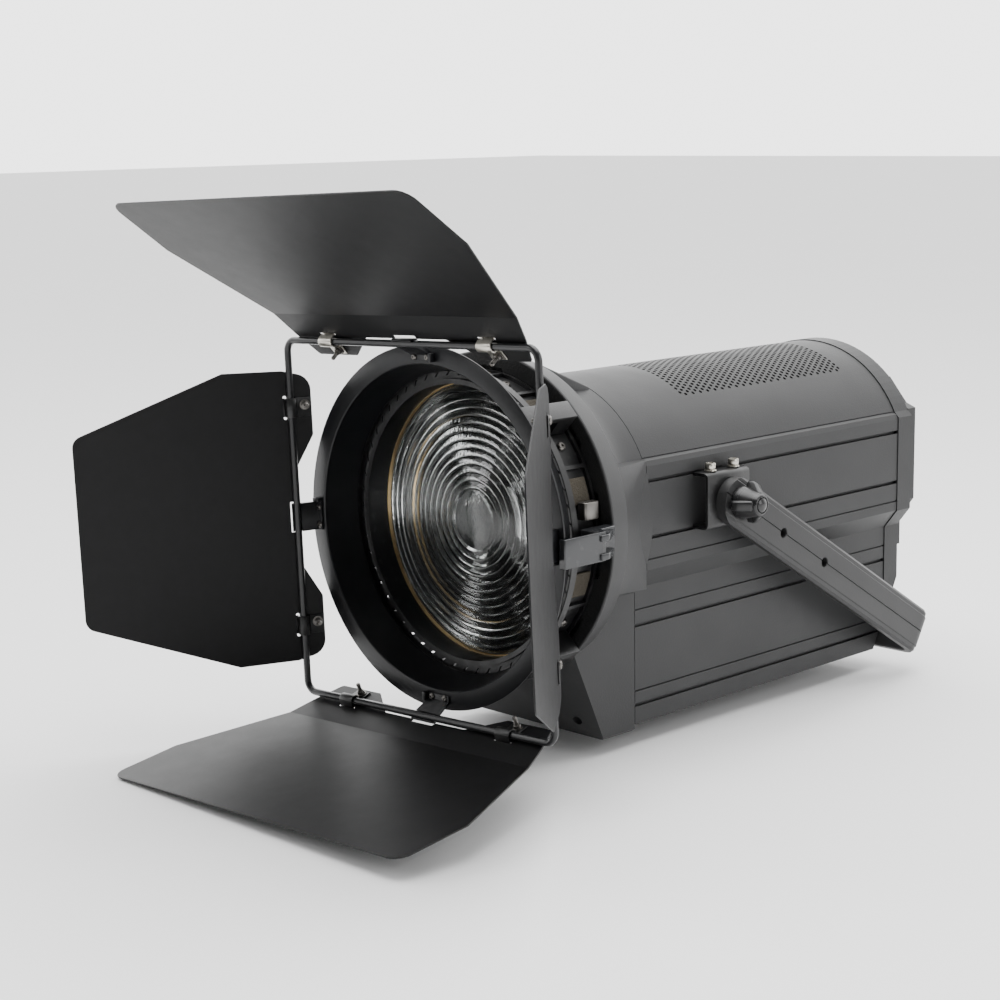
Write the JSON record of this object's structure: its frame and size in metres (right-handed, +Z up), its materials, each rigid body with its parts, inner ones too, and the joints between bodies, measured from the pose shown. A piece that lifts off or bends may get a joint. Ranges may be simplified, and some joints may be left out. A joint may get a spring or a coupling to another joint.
{
  "type": "fresnel spotlight",
  "caption": "Stage spotlight with a stepped lens, ribbed casing, sliding light engine, four-leaf barn door and a yoke bracket with hand knobs.",
  "frame": {"origin": "middle of the yoke crossbar's outer face, on the axis of its bolt hole", "axes": "+Z up, -Y along the beam, +X to the side with the accessory latch; the yoke's arms drop 31 degrees below the body's length towards +Y"},
  "size_m": [0.5117, 0.7312, 0.4698],
  "materials": {
    "casing": "fine textured satin paint",
    "bar": "satin paint",
    "black_paint": "satin black paint",
    "black_moulding": "moulded, slightly glossy",
    "clear_glass": "pressed clear glass",
    "display": "polished",
    "zinc": "zinc plated",
    "steel": "ground",
    "alloy": "bare",
    "driver_case": "bare sheet",
    "light_engine": "phosphor disc on alloy"
  },
  "bodies": {
    "yoke": {"yoke": "bar"},
    "brackets": {"rail_bracket_right": "black_paint", "rail_bracket_left": "black_paint", "pivot_bolt_right": "zinc", "pivot_bolt_left": "zinc", "rail_screw_right_front": "zinc", "rail_screw_right_rear": "zinc", "rail_screw_left_front": "zinc", "rail_screw_left_rear": "zinc"},
    "knob_right": {"tilt_knob_right": "black_moulding"},
    "knob_left": {"tilt_knob_left": "black_moulding"},
    "head": {"front_bezel": "casing", "side_panel_right": "casing", "side_panel_left": "casing", "top_cover": "casing", "bottom_panel": "casing", "rear_cap": "casing", "rear_panel": "casing", "display_window": "display", "data_inlet": "black_moulding", "data_outlet": "black_moulding", "power_inlet": "black_moulding", "power_outlet": "black_moulding", "safety_eye": "zinc", "accessory_holder": "black_moulding", "lens": "clear_glass", "lens_retainer": "black_moulding", "front_bulkhead": "black_paint", "rear_bulkhead": "black_paint", "guide_rod_right": "steel", "guide_rod_left": "steel", "zoom_motor": "black_moulding", "driver_unit": "driver_case", "fan_frame": "black_moulding"},
    "latch": {"accessory_latch": "black_moulding"},
    "button_1": {"menu_button_1": "black_moulding"},
    "button_2": {"menu_button_2": "black_moulding"},
    "button_3": {"menu_button_3": "black_moulding"},
    "button_4": {"menu_button_4": "black_moulding"},
    "screw": {"lead_screw": "steel"},
    "carriage": {"led_carriage": "alloy", "led_module": "light_engine", "heat_sink": "alloy"},
    "fan": {"fan_impeller": "black_moulding"},
    "barn_door": {"barn_ring": "black_paint", "hinge_wire": "black_paint"},
    "flap_top": {"leaf_top": "black_paint", "leaf_top_clip_a": "zinc", "leaf_top_clip_b": "zinc"},
    "flap_bottom": {"leaf_bottom": "black_paint", "leaf_bottom_clip_a": "black_paint", "leaf_bottom_clip_b": "black_paint"},
    "flap_left": {"leaf_left": "black_paint", "leaf_left_clip_a": "black_paint", "leaf_left_clip_b": "black_paint"},
    "flap_right": {"leaf_right": "black_paint", "leaf_right_clip_a": "black_paint", "leaf_right_clip_b": "black_paint"}
  },
  "joints": [
    {"name": "tilt", "type": "hinge", "parent": "yoke", "child": "brackets", "pos_m": [0, -0.27687, 0.16636], "axis": [1, 0, 0], "range_deg": [-100, 95]},
    {"name": "rail_slide", "type": "slide", "parent": "brackets", "child": "head", "axis": [0, -1, 0], "range_m": [0, 0.06]},
    {"name": "knob_right_turn", "type": "hinge", "parent": "brackets", "child": "knob_right", "pos_m": [0.142, -0.27687, 0.16636], "axis": [1, 0, 0], "continuous": true},
    {"name": "knob_left_turn", "type": "hinge", "parent": "brackets", "child": "knob_left", "pos_m": [-0.142, -0.27687, 0.16636], "axis": [1, 0, 0], "continuous": true},
    {"name": "latch_swing", "type": "hinge", "parent": "head", "child": "latch", "pos_m": [0.1345, -0.44687, 0.16136], "axis": [0, 0, 1], "range_deg": [0, 25], "stiffness_Nm_per_rad": 0.3, "springref_deg": -11.46},
    {"name": "button_1_press", "type": "slide", "parent": "head", "child": "button_1", "axis": [0, -1, 0], "range_m": [0, 0.0008], "stiffness_N_per_m": 400},
    {"name": "button_2_press", "type": "slide", "parent": "head", "child": "button_2", "axis": [0, -1, 0], "range_m": [0, 0.0008], "stiffness_N_per_m": 400},
    {"name": "button_3_press", "type": "slide", "parent": "head", "child": "button_3", "axis": [0, -1, 0], "range_m": [0, 0.0008], "stiffness_N_per_m": 400},
    {"name": "button_4_press", "type": "slide", "parent": "head", "child": "button_4", "axis": [0, -1, 0], "range_m": [0, 0.0008], "stiffness_N_per_m": 400},
    {"name": "zoom_travel", "type": "slide", "parent": "head", "child": "carriage", "axis": [0, 1, 0], "range_m": [-0.11, 0.07]},
    {"name": "lead_screw_turn", "type": "hinge", "parent": "head", "child": "screw", "pos_m": [0, -0.22287, 0.05636], "axis": [0, 1, 0], "range_deg": [-4955, 3155]},
    {"name": "fan_spin", "type": "hinge", "parent": "head", "child": "fan", "pos_m": [0, -0.05287, 0.12136], "axis": [0, 1, 0], "continuous": true},
    {"name": "barn_turn", "type": "hinge", "parent": "head", "child": "barn_door", "pos_m": [0, -0.52287, 0.16136], "axis": [0, 1, 0], "continuous": true},
    {"name": "flap_top_hinge", "type": "hinge", "parent": "barn_door", "child": "flap_top", "pos_m": [-0.00654, -0.52287, 0.31122], "axis": [0.999, 0, 0.0436], "range_deg": [-70, 68]},
    {"name": "flap_bottom_hinge", "type": "hinge", "parent": "barn_door", "child": "flap_bottom", "pos_m": [0.00654, -0.52287, 0.0115], "axis": [0.999, 0, 0.0436], "range_deg": [-40, 98]},
    {"name": "flap_right_hinge", "type": "hinge", "parent": "barn_door", "child": "flap_right", "pos_m": [0.14686, -0.52287, 0.16777], "axis": [-0.0436, 0, 0.999], "range_deg": [-99, 70]},
    {"name": "flap_left_hinge", "type": "hinge", "parent": "barn_door", "child": "flap_left", "pos_m": [-0.14686, -0.52287, 0.15494], "axis": [-0.0436, 0, 0.999], "range_deg": [-81, 89]}
  ],
  "couplings": [
    {"joint": "lead_screw_turn", "follows": "zoom_travel", "rad_per_m": 785.4}
  ]
}
